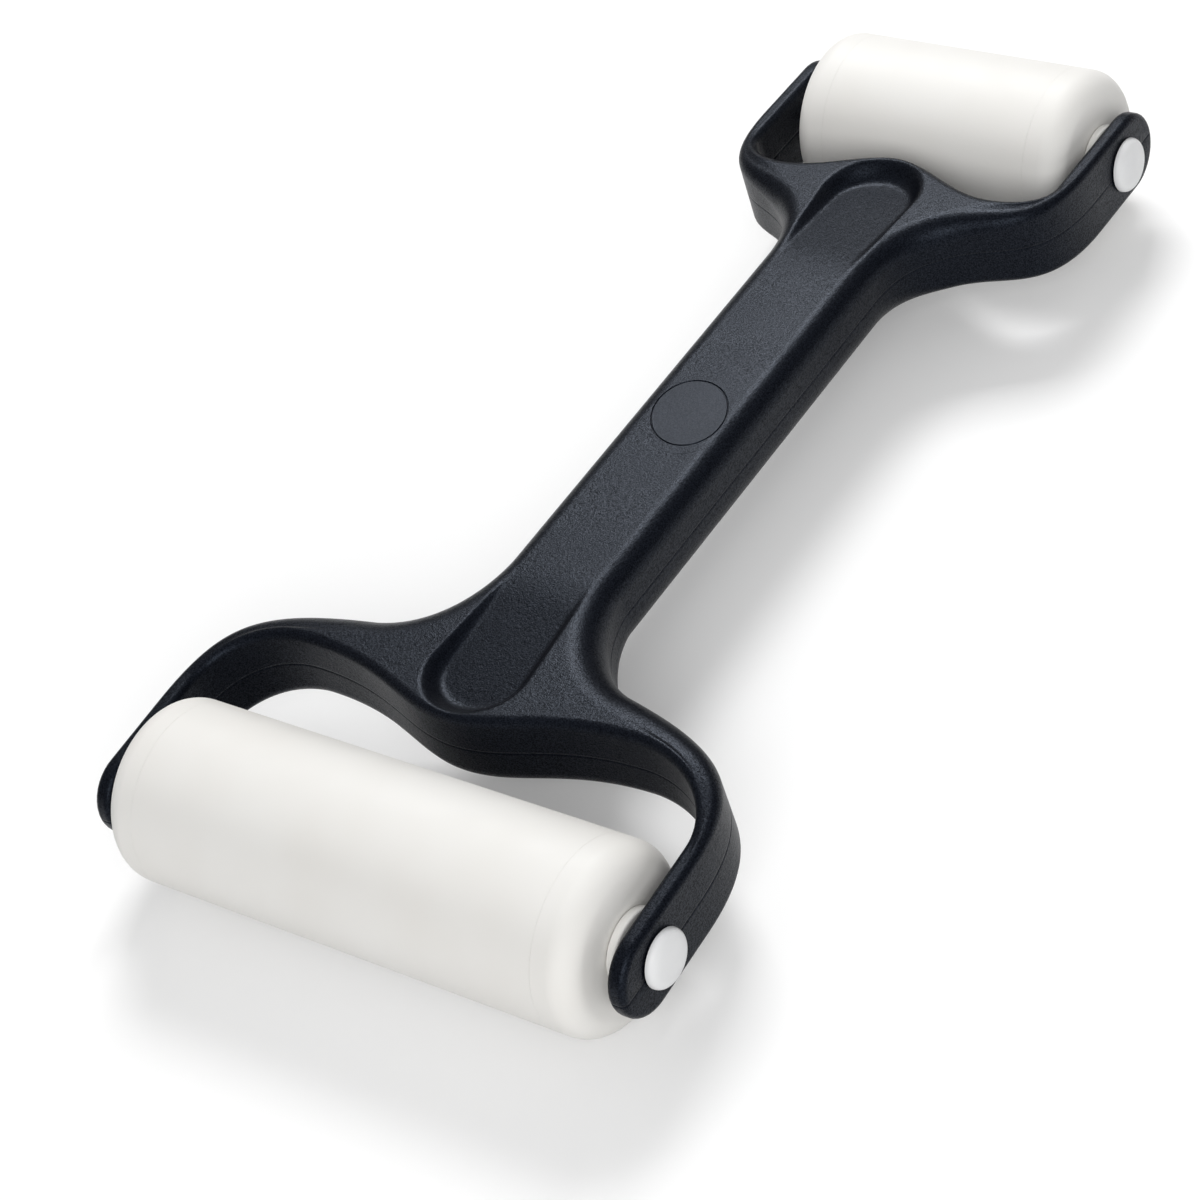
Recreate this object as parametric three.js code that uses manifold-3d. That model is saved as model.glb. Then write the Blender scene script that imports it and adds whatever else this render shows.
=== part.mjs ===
// Double dough roller: a wide and a narrow roller, carried in the two yokes of one moulded frame.
// Millimetres, +Z up. The origin lies on the table midway between the axles. X runs along the axles,
// and Y from the wide roller's end of the tool to the narrow roller's end.
import * as THREE from 'three';
import { mergeVertices } from 'three/addons/utils/BufferGeometryUtils.js';
import Module from 'manifold-3d';

const wasm = await Module();
wasm.setup();

// Fits
const CLEARANCE = 0.3; // between pieces that touch, slide or turn on each other

// Rollers
const AXLE_SPACING = 219;
const ROLLER_DIAMETER = 36.7;
const WIDE_ROLLER_LENGTH = 110;
const NARROW_ROLLER_LENGTH = 65.5;
const END_PLAY = 2.5; // how far a roller can slide along its axle
const WIDE_SLIDE = 0.4; // where it stands in that play, from -1 at the left arm to 1 at the right arm
const NARROW_SLIDE = 0.95;
const BARREL_WALL = 3;
const CAP_RIM = 8; // length of the roller's face that belongs to each end cap
const CAP_EDGE_RADIUS = 5;
const CAP_WALL = 2.4;
const CAP_SPIGOT = 8; // length that reaches into the barrel
const CAP_HUB_LENGTH = 14;

// Bushes, axles and axle buttons
const AXLE_DIAMETER = 6;
const BUSH_WALL = 2.4;
const BUSH_LENGTH = 12;
const BUSH_FLANGE_DIAMETER = 15.2;
const BUSH_FLANGE = 1.9; // thickness of the collar between roller and arm
const BUTTON_DIAMETER = 11.5;
const BUTTON_HEIGHT = 2;
const BUTTON_EDGE_RADIUS = 1;
const BUTTON_SHANK_WALL = 1.1;

// Frame
const FRAME_THICKNESS = 17.4;
const HANDLE_WIDTH = 25.8;
const HANDLE_EDGE_RADIUS = 6.5;
const HANDLE_LIFT = 3.9; // the handle's middle lies this far above the axles
const HANDLE_SLOPE = 0.012; // and the handle climbs this much towards the wide roller
const ARM_THICKNESS = 3.9;
const ARM_EDGE_RADIUS = 1.4;
const ARM_SLOPE = 0.045; // the arms climb from the axle towards the handle
const ARM_TIP_OFFSET = 3.5; // the rounded tip's centre lies past the axle
const WALL_TOP_EDGE_RADIUS = 1.75; // edges of the yoke's inner wall
const WALL_LOW_EDGE_RADIUS = 3.1;
const SHOULDER_LOW_EDGE_RADIUS = 2.2;
const EDGE_GROWTH = 1.5; // how late the arms' edges grow into the shoulder's, from 1 for evenly

// Yokes: gaps are measured from the roller's surface towards the handle, and fullness says how squarely
// a curve leaves one of its ends
const CORNER_FULLNESS = 0.58;
const BULGE_FULLNESS = 0.31;
const ROOT_FULLNESS_ACROSS = 0.83;
const WIDE_ARM_STRAIGHT = 12.5; // from the axle to the start of the shoulder's outer curve
const WIDE_LOBE_GAP = 14.8;
const WIDE_BULGE_GAP = 6.9;
const WIDE_CORNER_WIDTH = 19.8;
const WIDE_CORNER_DEPTH = 16;
const WIDE_LOBE_FULLNESS = 0.51;
const WIDE_LOBE_THICKNESS = 11.8;
const WIDE_SHOULDER_INSET = 9.2; // from the lobe's deepest point to the outer shoulder, across
const WIDE_SHOULDER_SLOPE = 0.25;
const WIDE_SHOULDER_EDGE_RADIUS = 7.4;
const WIDE_SHOULDER_FULLNESS = 0.82;
const WIDE_ARM_FULLNESS = 0.62;
const WIDE_ROOT_LENGTH = 21.8;
const WIDE_ROOT_FULLNESS_ALONG = 0.19;
const NARROW_ARM_STRAIGHT = 13.1;
const NARROW_LOBE_GAP = 11;
const NARROW_BULGE_GAP = 3.7;
const NARROW_CORNER_WIDTH = 11.3;
const NARROW_CORNER_DEPTH = 9.1;
const NARROW_LOBE_FULLNESS = 0.36;
const NARROW_LOBE_THICKNESS = 11.4;
const NARROW_SHOULDER_INSET = 4.5;
const NARROW_SHOULDER_SLOPE = 0.8;
const NARROW_SHOULDER_EDGE_RADIUS = 4.8;
const NARROW_SHOULDER_FULLNESS = 0.58;
const NARROW_ARM_FULLNESS = 0.83;
const NARROW_ROOT_LENGTH = 16.8;
const NARROW_ROOT_FULLNESS_ALONG = 0.48;

// Thumb scoops
const SCOOP_WIDTH = 22.4;
const SCOOP_LENGTH = 36;
const SCOOP_DEPTH = 4;
const SCOOP_COVE = 2.4; // radius between floor and wall
const SCOOP_RIDGE = 2.3; // land left between the scoop and the yoke's inner wall

// Facets
const ROLLER_SIDES = 40;
const PIN_SIDES = 24;
const ARC_STEPS = 4;

// Derived places
const ROLLER_RADIUS = ROLLER_DIAMETER / 2;
const AXLE_RADIUS = AXLE_DIAMETER / 2;
const BUSH_BORE = AXLE_RADIUS + CLEARANCE;
const BUSH_RADIUS = BUSH_BORE + BUSH_WALL;
const SHANK_RADIUS = AXLE_RADIUS + CLEARANCE + BUTTON_SHANK_WALL;
const EYE_RADIUS = SHANK_RADIUS + CLEARANCE;
const ARM_GAP = BUSH_FLANGE + 2 * CLEARANCE + END_PLAY / 2; // from a centred roller's end to the arm
const HALF_THICKNESS = FRAME_THICKNESS / 2;
const HALF_HANDLE = HANDLE_WIDTH / 2;
const ARM_EDGE = Math.min(ARM_EDGE_RADIUS, ARM_THICKNESS * 0.48);
const HANDLE_EDGE = Math.min(HANDLE_EDGE_RADIUS, HALF_THICKNESS, HALF_HANDLE);

const wideEnd = {
  facing: 1,
  rollerLength: WIDE_ROLLER_LENGTH,
  slide: WIDE_SLIDE,
  armStraight: WIDE_ARM_STRAIGHT,
  lobeGap: WIDE_LOBE_GAP,
  bulgeGap: WIDE_BULGE_GAP,
  cornerWidth: WIDE_CORNER_WIDTH,
  cornerDepth: WIDE_CORNER_DEPTH,
  lobeFullness: WIDE_LOBE_FULLNESS,
  lobeThickness: WIDE_LOBE_THICKNESS,
  shoulderInset: WIDE_SHOULDER_INSET,
  shoulderSlope: WIDE_SHOULDER_SLOPE,
  shoulderEdge: Math.min(WIDE_SHOULDER_EDGE_RADIUS, HALF_THICKNESS),
  shoulderFullness: WIDE_SHOULDER_FULLNESS,
  armFullness: WIDE_ARM_FULLNESS,
  rootLength: WIDE_ROOT_LENGTH,
  rootFullnessAlong: WIDE_ROOT_FULLNESS_ALONG,
};
const narrowEnd = {
  facing: -1,
  rollerLength: NARROW_ROLLER_LENGTH,
  slide: NARROW_SLIDE,
  armStraight: NARROW_ARM_STRAIGHT,
  lobeGap: NARROW_LOBE_GAP,
  bulgeGap: NARROW_BULGE_GAP,
  cornerWidth: NARROW_CORNER_WIDTH,
  cornerDepth: NARROW_CORNER_DEPTH,
  lobeFullness: NARROW_LOBE_FULLNESS,
  lobeThickness: NARROW_LOBE_THICKNESS,
  shoulderInset: NARROW_SHOULDER_INSET,
  shoulderSlope: NARROW_SHOULDER_SLOPE,
  shoulderEdge: Math.min(NARROW_SHOULDER_EDGE_RADIUS, HALF_THICKNESS),
  shoulderFullness: NARROW_SHOULDER_FULLNESS,
  armFullness: NARROW_ARM_FULLNESS,
  rootLength: NARROW_ROOT_LENGTH,
  rootFullnessAlong: NARROW_ROOT_FULLNESS_ALONG,
};

// Solids

// One closed, outward mesh: shared vertices merged, empty triangles dropped.
function closed(geometry) {
  geometry.deleteAttribute('normal');
  geometry.deleteAttribute('uv');
  const merged = mergeVertices(geometry, 1e-3);
  const corners = merged.getIndex().array;
  const kept = [];
  for (let i = 0; i < corners.length; i += 3) {
    const [a, b, c] = corners.slice(i, i + 3);
    if (a !== b && b !== c && c !== a) kept.push(a, b, c);
  }
  merged.setIndex(kept);
  if (signedVolume(merged) < 0) merged.setIndex(kept.reverse());
  return merged;
}

function signedVolume(geometry) {
  const position = geometry.getAttribute('position');
  const corners = geometry.getIndex().array;
  const point = (i) => new THREE.Vector3().fromBufferAttribute(position, corners[i]);
  let volume = 0;
  for (let i = 0; i < corners.length; i += 3) volume += point(i).dot(point(i + 1).cross(point(i + 2))) / 6;
  return volume;
}

function toManifold(geometry) {
  const mesh = new wasm.Mesh({
    numProp: 3,
    vertProperties: new Float32Array(geometry.getAttribute('position').array),
    triVerts: new Uint32Array(geometry.getIndex().array),
  });
  return new wasm.Manifold(mesh);
}

function fromManifold(manifold) {
  const mesh = manifold.getMesh();
  const geometry = new THREE.BufferGeometry();
  geometry.setAttribute('position', new THREE.BufferAttribute(mesh.vertProperties, 3));
  geometry.setIndex(new THREE.BufferAttribute(mesh.triVerts, 1));
  return geometry;
}

// Revolves a closed profile of [radius, x] points about the X axis. The flats lie on the true circle.
function revolve(profile, sides) {
  const acrossCorners = 1 / Math.cos(Math.PI / sides);
  const points = [...profile, profile[0]].map(([radius, x]) => new THREE.Vector2(radius * acrossCorners, x));
  const geometry = new THREE.LatheGeometry(points, sides, Math.PI / sides);
  return closed(geometry.rotateZ(-Math.PI / 2));
}

// Points of a quarter round about [radius, x], from the end face's direction to the side's direction.
function quarterRound([radius, x], size) {
  return Array.from({ length: ARC_STEPS + 1 }, (_, i) => {
    const angle = (Math.PI / 2) * (i / ARC_STEPS);
    return [radius + size * Math.sin(angle), x + size * Math.cos(angle)];
  });
}

// Roller pieces. Each is drawn about X with its seat at x = 0 and the roller on the -X side.

function barrel(length) {
  const half = length / 2 - CAP_RIM - CLEARANCE;
  const bore = ROLLER_RADIUS - BARREL_WALL;
  return revolve([[bore, -half], [ROLLER_RADIUS, -half], [ROLLER_RADIUS, half], [bore, half]], ROLLER_SIDES);
}

// Seat: the roller's end face.
function endCap() {
  const hubBore = BUSH_RADIUS + CLEARANCE;
  const hub = hubBore + CAP_WALL;
  const spigot = ROLLER_RADIUS - BARREL_WALL - CLEARANCE;
  const cavity = spigot - CAP_WALL;
  const edge = Math.min(CAP_EDGE_RADIUS, CAP_RIM);
  return revolve([
    [hubBore, 0],
    ...quarterRound([ROLLER_RADIUS - edge, -edge], edge),
    [ROLLER_RADIUS, -CAP_RIM],
    [spigot, -CAP_RIM],
    [spigot, -CAP_RIM - CAP_SPIGOT],
    [cavity, -CAP_RIM - CAP_SPIGOT],
    [cavity, -CAP_WALL],
    [hub, -CAP_WALL],
    [hub, -CAP_HUB_LENGTH],
    [hubBore, -CAP_HUB_LENGTH],
  ], ROLLER_SIDES);
}

// Seat: the roller's end face, with the flange outside it.
function bush() {
  const flange = BUSH_FLANGE_DIAMETER / 2;
  return revolve([
    [BUSH_BORE, CLEARANCE + BUSH_FLANGE],
    [flange, CLEARANCE + BUSH_FLANGE],
    [flange, CLEARANCE],
    [BUSH_RADIUS, CLEARANCE],
    [BUSH_RADIUS, -BUSH_LENGTH],
    [BUSH_BORE, -BUSH_LENGTH],
  ], PIN_SIDES);
}

function axle(length) {
  const half = length / 2 + ARM_GAP + ARM_THICKNESS + CLEARANCE;
  return revolve([[0, -half], [AXLE_RADIUS, -half], [AXLE_RADIUS, half], [0, half]], PIN_SIDES);
}

// Seat: the arm's outer face. The hollow shank passes through the arm's eye and holds the axle's end.
function axleButton() {
  const head = BUTTON_DIAMETER / 2;
  const edge = Math.min(BUTTON_EDGE_RADIUS, BUTTON_HEIGHT - CLEARANCE);
  const bore = AXLE_RADIUS + CLEARANCE;
  const top = CLEARANCE + BUTTON_HEIGHT;
  return revolve([
    [0, top],
    ...quarterRound([head - edge, top - edge], edge),
    [head, CLEARANCE],
    [SHANK_RADIUS, CLEARANCE],
    [SHANK_RADIUS, -ARM_THICKNESS],
    [bore, -ARM_THICKNESS],
    [bore, 2 * CLEARANCE],
    [0, 2 * CLEARANCE],
  ], PIN_SIDES);
}

// Frame. Its right half is lofted along stations. A station joins a point of the yoke's inner wall, or of
// the handle's centre line, to a point of the outer wall, and both walls have their own edge rounds.

// A cubic curve that leaves a along "out" and arrives at b along "into", both given with their lengths.
function sweep(a, out, b, into) {
  return new THREE.CubicBezierCurve(a, a.clone().add(out), b.clone().sub(into), b);
}

// The plan of one yoke, drawn with its axle on the -Y side.
function yokePlan(end) {
  const axleY = -AXLE_SPACING / 2;
  const armInner = end.rollerLength / 2 + ARM_GAP;
  const armOuter = armInner + ARM_THICKNESS;
  const lobe = new THREE.Vector2(armInner - end.cornerWidth, axleY + ROLLER_RADIUS + end.lobeGap);
  const bulge = new THREE.Vector2(0, axleY + ROLLER_RADIUS + end.bulgeGap);
  const corner = new THREE.Vector2(armInner, lobe.y - end.cornerDepth);
  const shoulder = new THREE.Vector2(lobe.x - end.shoulderInset, lobe.y + end.lobeThickness);
  const outerStart = new THREE.Vector2(armOuter, axleY + end.armStraight);
  const root = new THREE.Vector2(HALF_HANDLE, shoulder.y + end.rootLength);
  const along = new THREE.Vector2(-1, end.shoulderSlope).normalize();
  const turn = shoulder.clone().sub(outerStart);
  const run = root.clone().sub(shoulder);
  return {
    axleY, armInner, armOuter, corner, outerStart, bulge, root,
    innerCorner: sweep(
      corner, new THREE.Vector2(0, CORNER_FULLNESS * end.cornerDepth),
      lobe, new THREE.Vector2(-CORNER_FULLNESS * end.cornerWidth, 0)),
    innerWave: sweep(
      lobe, new THREE.Vector2(-end.lobeFullness * lobe.x, 0),
      bulge, new THREE.Vector2(-BULGE_FULLNESS * lobe.x, 0)),
    outerShoulder: sweep(
      outerStart, new THREE.Vector2(0, end.armFullness * turn.y),
      shoulder, along.clone().multiplyScalar(-end.shoulderFullness * turn.x)),
    outerRoot: sweep(
      shoulder, along.clone().multiplyScalar(-ROOT_FULLNESS_ACROSS * run.x),
      root, new THREE.Vector2(0, end.rootFullnessAlong * run.y)),
  };
}

// Heights of the frame's mid-plane above the axles, at y in the yoke's own drawing.
const handleLevel = (end, y) => HANDLE_LIFT - end.facing * HANDLE_SLOPE * y;
const armLevel = (plan, y) => ARM_SLOPE * (y - plan.axleY);

const straight = (x, y) => ({ point: new THREE.Vector2(x, y), tangent: new THREE.Vector2(0, 1) });
const onCurve = (curve, t) => ({ point: curve.getPoint(t), tangent: curve.getTangent(t) });
const mix = THREE.MathUtils.lerp;
const steps = (count) => Array.from({ length: count }, (_, i) => (i + 1) / count);

// Edge rounds of a section, on its inner and outer wall, above and below.
const armEdges = { innerTop: ARM_EDGE, innerLow: ARM_EDGE, outerTop: ARM_EDGE, outerLow: ARM_EDGE };
const handleEdges = { innerTop: 0, innerLow: 0, outerTop: HANDLE_EDGE, outerLow: HANDLE_EDGE };
const mixEdges = (a, b, t) => Object.fromEntries(Object.keys(a).map((key) => [key, mix(a[key], b[key], t)]));

// The stations of one yoke, from the arm's tip to the start of the plain handle. The frame rises from the
// arms to the handle's height round the corner.
function yokeStations(end) {
  const plan = yokePlan(end);
  const rootShare = 0.5; // part of the root curve that lies beside the yoke's inner wall
  const tipY = plan.axleY - ARM_TIP_OFFSET;
  const wallEdges = { innerTop: WALL_TOP_EDGE_RADIUS, innerLow: WALL_LOW_EDGE_RADIUS };
  const shoulderEdges = { ...wallEdges, outerTop: end.shoulderEdge, outerLow: SHOULDER_LOW_EDGE_RADIUS };
  const onArm = (y) => armLevel(plan, y);
  const onHandle = (y) => handleLevel(end, y);
  const stations = [];
  const put = (inner, outer, edges, level, extra = {}) => {
    stations.push({ inner, outer, edges, level, ...extra });
  };
  for (const turn of [0, ...steps(5)]) {
    const angle = (Math.PI / 2) * (1 - turn);
    put(straight(plan.armInner, tipY), straight(plan.armOuter, tipY), armEdges, onArm, { tipAngle: angle });
  }
  for (const t of steps(2)) {
    put(straight(plan.armInner, mix(tipY, plan.corner.y, t)),
      straight(plan.armOuter, mix(tipY, plan.outerStart.y, t)), armEdges, onArm);
  }
  for (const t of steps(8)) {
    const risen = THREE.MathUtils.smoothstep(t, 0, 1);
    put(onCurve(plan.innerCorner, t), onCurve(plan.outerShoulder, t),
      mixEdges(armEdges, shoulderEdges, t ** EDGE_GROWTH), (y) => mix(onArm(y), onHandle(y), risen));
  }
  for (const t of steps(8)) {
    const edges = { ...mixEdges(shoulderEdges, handleEdges, t * rootShare), ...wallEdges };
    put(onCurve(plan.innerWave, t), onCurve(plan.outerRoot, t * rootShare), edges, onHandle);
  }
  for (const t of steps(7)) {
    const along = mix(rootShare, 1, t);
    const y = mix(plan.bulge.y + WALL_TOP_EDGE_RADIUS, plan.root.y, t);
    const edges = { ...mixEdges(shoulderEdges, handleEdges, along), innerTop: 0, innerLow: 0 };
    put(straight(0, y), onCurve(plan.outerRoot, along), edges, onHandle, { onCentreLine: true });
  }
  return stations;
}

// Half of a station's section, from inner wall to outer wall, as [x, y, height from mid-plane] points.
function halfProfile({ inner, outer }, innerEdge, outerEdge) {
  const intoMaterial = new THREE.Vector2(inner.tangent.y, -inner.tangent.x);
  const fromOuter = new THREE.Vector2(-outer.tangent.y, outer.tangent.x);
  const edgePoint = (wall, normal, radius, angle) => {
    const plan = wall.point.clone().addScaledVector(normal, radius * (1 - Math.cos(angle)));
    return [plan.x, plan.y, HALF_THICKNESS - radius * (1 - Math.sin(angle))];
  };
  const angles = [0, ...steps(ARC_STEPS)].map((t) => (t * Math.PI) / 2);
  return [
    ...angles.map((angle) => edgePoint(inner, intoMaterial, innerEdge, angle)),
    ...angles.reverse().map((angle) => edgePoint(outer, fromOuter, outerEdge, angle)),
  ];
}

// A station's closed ring: the upper half of its section and the lower one below it. Stations of the arm's
// tip are turned about the tip's axis, so the tip is round with the same edges.
function stationRing(station) {
  const { edges, level, tipAngle = 0 } = station;
  const place = ([x, y, height], sign) => {
    const z = level(y) + sign * height * Math.cos(tipAngle);
    return new THREE.Vector3(x, y - height * Math.sin(tipAngle), z);
  };
  const upper = halfProfile(station, edges.innerTop, edges.outerTop).map((p) => place(p, 1));
  const lower = halfProfile(station, edges.innerLow, edges.outerLow).map((p) => place(p, -1));
  return [...upper, ...lower.reverse()];
}

// The whole frame: the rings of both yokes in one row, skinned, and mirrored about the centre plane.
function frameSkin() {
  const toBack = (ring) => ring.map((p) => new THREE.Vector3(p.x, -p.y, p.z));
  const front = yokeStations(wideEnd);
  const back = yokeStations(narrowEnd).reverse();
  const rows = [
    ...front.map((s) => ({ ring: stationRing(s), open: Boolean(s.onCentreLine) })),
    ...back.map((s) => ({ ring: toBack(stationRing(s)), open: Boolean(s.onCentreLine) })),
  ];
  const size = rows[0].ring.length;
  const innerFace = (k) => k < ARC_STEPS || k >= size - 1 - ARC_STEPS;
  const triangles = [];
  for (let i = 0; i + 1 < rows.length; i += 1) {
    const [row, next] = [rows[i], rows[i + 1]];
    for (let k = 0; k < size; k += 1) {
      if ((row.open || next.open) && innerFace(k)) continue;
      const j = (k + 1) % size;
      triangles.push(row.ring[k], next.ring[k], next.ring[j], row.ring[k], next.ring[j], row.ring[j]);
    }
  }
  const mirrored = triangles.map((p) => new THREE.Vector3(-p.x, p.y, p.z)).reverse();
  return closed(new THREE.BufferGeometry().setFromPoints([...triangles, ...mirrored]));
}

// The cutter of one thumb scoop: a round-ended slot with a coved floor that slopes down to the yoke.
function scoopCutter(end) {
  const half = SCOOP_WIDTH / 2;
  const reach = FRAME_THICKNESS; // enough to stand clear of the frame's top
  const shape = new THREE.Shape();
  shape.moveTo(half, SCOOP_LENGTH);
  shape.lineTo(-half, SCOOP_LENGTH);
  shape.lineTo(-half, half);
  shape.absarc(0, half, half, Math.PI, 2 * Math.PI, false);
  const geometry = new THREE.ExtrudeGeometry(shape, {
    depth: reach,
    bevelThickness: SCOOP_COVE,
    bevelSize: SCOOP_COVE,
    bevelOffset: -SCOOP_COVE,
    bevelSegments: 3,
    curveSegments: 10,
  });
  const endY = yokePlan(end).bulge.y + SCOOP_RIDGE;
  const run = SCOOP_LENGTH - SCOOP_COVE;
  const slope = Math.atan2(SCOOP_DEPTH - end.facing * HANDLE_SLOPE * run, run);
  geometry.translate(0, 0, SCOOP_COVE);
  geometry.rotateX(slope);
  geometry.translate(0, endY, handleLevel(end, endY) + HALF_THICKNESS - SCOOP_DEPTH);
  return geometry;
}

function eyeCutter(end) {
  const width = end.rollerLength + 4 * (ARM_GAP + ARM_THICKNESS);
  const geometry = new THREE.CylinderGeometry(EYE_RADIUS, EYE_RADIUS, width, PIN_SIDES);
  return geometry.rotateZ(Math.PI / 2).translate(0, -AXLE_SPACING / 2, 0);
}

function frame() {
  const turnedBack = (geometry) => geometry.rotateZ(Math.PI);
  const cutters = [
    scoopCutter(wideEnd), eyeCutter(wideEnd),
    turnedBack(scoopCutter(narrowEnd)), turnedBack(eyeCutter(narrowEnd)),
  ];
  const cut = cutters.reduce(
    (solid, cutter) => solid.subtract(toManifold(closed(cutter))), toManifold(frameSkin()));
  return fromManifold(cut);
}

// Assembly

const darkPlastic = { color: 0x23272e, roughness: 0.5, metalness: 0 };
const whitePlastic = { color: 0xf1eee8, roughness: 0.6, metalness: 0 };
const buttonPlastic = { color: 0xebebea, roughness: 0.4, metalness: 0 };
const steel = { color: 0xb9bcc0, roughness: 0.3, metalness: 1 };

function piece(name, geometry, finish, x = 0) {
  geometry.computeVertexNormals();
  const mesh = new THREE.Mesh(geometry, new THREE.MeshStandardMaterial(finish));
  mesh.name = name;
  mesh.position.x = x;
  return mesh;
}

function rollerAssembly(prefix, end, axleY) {
  const assembly = new THREE.Group();
  assembly.position.set(0, axleY, ROLLER_RADIUS);
  assembly.add(piece(`${prefix}_axle`, axle(end.rollerLength), steel));
  const roller = new THREE.Group();
  roller.position.x = (end.slide * END_PLAY) / 2;
  roller.add(piece(`${prefix}_barrel`, barrel(end.rollerLength), whitePlastic));
  assembly.add(roller);
  const endFace = end.rollerLength / 2;
  const armFace = endFace + ARM_GAP + ARM_THICKNESS;
  for (const [side, turn] of [['right', 0], ['left', Math.PI]]) {
    const rollerEnd = new THREE.Group();
    rollerEnd.rotation.z = turn;
    rollerEnd.add(piece(`${prefix}_end_cap_${side}`, endCap(), whitePlastic, endFace));
    rollerEnd.add(piece(`${prefix}_bush_${side}`, bush(), whitePlastic, endFace));
    roller.add(rollerEnd);
    const arm = new THREE.Group();
    arm.rotation.z = turn;
    arm.add(piece(`${prefix}_axle_button_${side}`, axleButton(), buttonPlastic, armFace));
    assembly.add(arm);
  }
  return assembly;
}

const doughRoller = new THREE.Group();
const frameMesh = piece('frame', frame(), darkPlastic);
frameMesh.position.z = ROLLER_RADIUS;
doughRoller.add(frameMesh);
doughRoller.add(rollerAssembly('wide', wideEnd, -AXLE_SPACING / 2));
doughRoller.add(rollerAssembly('narrow', narrowEnd, AXLE_SPACING / 2));

export default doughRoller;
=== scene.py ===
# %% [markdown]
# # A double dough roller
# The tool has one dark moulded frame: a flat handle that opens into a wide yoke at one end and a narrow
# yoke at the other. Each yoke carries a white roller on a hidden axle, and a white button closes each end
# of the axle. This lesson loads the solids as a fixed frame, and lays a fine numpy surface over
# every piece that shows. All sizes below are in millimetres and become metres in the meshes.

import bpy
import numpy as np
from mathutils import Matrix, Vector


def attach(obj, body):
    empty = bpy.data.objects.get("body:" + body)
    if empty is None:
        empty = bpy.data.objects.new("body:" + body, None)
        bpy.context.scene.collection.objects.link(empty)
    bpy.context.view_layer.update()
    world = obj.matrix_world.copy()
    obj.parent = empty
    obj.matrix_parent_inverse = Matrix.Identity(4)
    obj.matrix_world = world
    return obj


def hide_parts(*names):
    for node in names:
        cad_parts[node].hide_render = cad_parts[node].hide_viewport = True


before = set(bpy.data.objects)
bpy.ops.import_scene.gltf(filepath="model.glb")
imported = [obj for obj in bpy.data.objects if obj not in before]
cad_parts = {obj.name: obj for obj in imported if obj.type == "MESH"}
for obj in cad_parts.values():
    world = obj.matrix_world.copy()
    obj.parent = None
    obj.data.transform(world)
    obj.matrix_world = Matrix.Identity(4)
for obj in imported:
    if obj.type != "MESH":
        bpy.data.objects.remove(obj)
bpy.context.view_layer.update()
MM = 0.001

# %% [markdown]
# ## Camera
# The view was worked out from the picture with a pinhole camera: a long lens, a little above the tool,
# from its right front, rolled to one side. A camera looks along its own -Z axis, so its three axes are
# written down as the columns of a turn, and the place is added.

# %% Camera
CAMERA_PLACE = Vector((0.36522, -0.37262, 0.45991))
CAMERA_RIGHT = Vector((0.80463, 0.53524, -0.25707))
CAMERA_BACK = Vector((0.54866, -0.50470, 0.66652))
LENS = 102.43
SENSOR = 36.0
NEAR_CLIP = 0.01


def place_camera():
    """A camera whose columns are right, up = back x right, and back, at its measured place."""
    data = bpy.data.cameras.new("camera")
    data.lens = LENS
    data.sensor_width = SENSOR
    data.clip_start = NEAR_CLIP
    camera = bpy.data.objects.new("camera", data)
    bpy.context.scene.collection.objects.link(camera)
    up = CAMERA_BACK.cross(CAMERA_RIGHT)
    turn = Matrix((CAMERA_RIGHT, up, CAMERA_BACK)).transposed()
    camera.matrix_world = Matrix.Translation(CAMERA_PLACE) @ turn.to_4x4()
    bpy.context.scene.camera = camera
    return camera


print("lens:", place_camera().data.lens)

# %% [markdown]
# ## From arrays to meshes
# Every surface here is a grid of points: rows along one parameter, columns along the other. Where the grid
# closes on itself, or runs into a pole, points fall on each other. They are found by rounding and made one,
# and a quad that loses a corner that way becomes a triangle. Nothing is left open and nothing is doubled.

# %% Cells of a grid, and their welding
WELD = 1e-4


def grid_quads(rows, columns, close_rows=False, close_columns=False):
    """Corner numbers of every cell of a rows x columns grid, wrapped round where it is closed."""
    index = np.arange(rows * columns).reshape(rows, columns)
    if close_rows:
        index = np.vstack([index, index[:1]])
    if close_columns:
        index = np.hstack([index, index[:, :1]])
    return np.stack([index[:-1, :-1], index[1:, :-1], index[1:, 1:], index[:-1, 1:]], axis=-1)


def weld(points, quads):
    """Points whose x, y and z agree to WELD become one. Returns points in use, quads and triangles."""
    keys = np.round(points[:, :3] / WELD).astype(np.int64)
    _, first, inverse = np.unique(keys, axis=0, return_index=True, return_inverse=True)
    quads = inverse.reshape(-1)[quads]
    used, compact = np.unique(quads, return_inverse=True)
    quads = compact.reshape(quads.shape)
    lost = quads == np.roll(quads, -1, axis=1)
    whole = quads[~lost.any(axis=1)]
    thin = lost.sum(axis=1) == 1
    triangles = quads[thin][~lost[thin]].reshape(-1, 3)
    folded = (whole[:, 0] == whole[:, 2]) | (whole[:, 1] == whole[:, 3])
    return points[first[used]], whole[~folded], triangles


# %% Normals, and faces that point outwards
NO_LENGTH = 1e-12


def as_triangles(quads, triangles):
    """Each quad cut along one diagonal, and the triangles as they are."""
    return np.vstack([quads[:, [0, 1, 2]], quads[:, [0, 2, 3]], triangles])


def volume(points, faces):
    """Signed volume: a sixth of the sum of a . (b x c) over all triangles."""
    a, b, c = (points[faces[:, k], :3] for k in range(3))
    return np.einsum("ij,ij->i", a, np.cross(b, c)).sum() / 6


def vertex_normals(points, faces):
    """Unit normals: the sum of the area vectors of the triangles round each point."""
    a, b, c = (points[faces[:, k]] for k in range(3))
    area = np.cross(b - a, c - a)
    total = np.zeros_like(points)
    for k in range(3):
        np.add.at(total, faces[:, k], area)
    return total / np.maximum(np.linalg.norm(total, axis=1, keepdims=True), NO_LENGTH)


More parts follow.
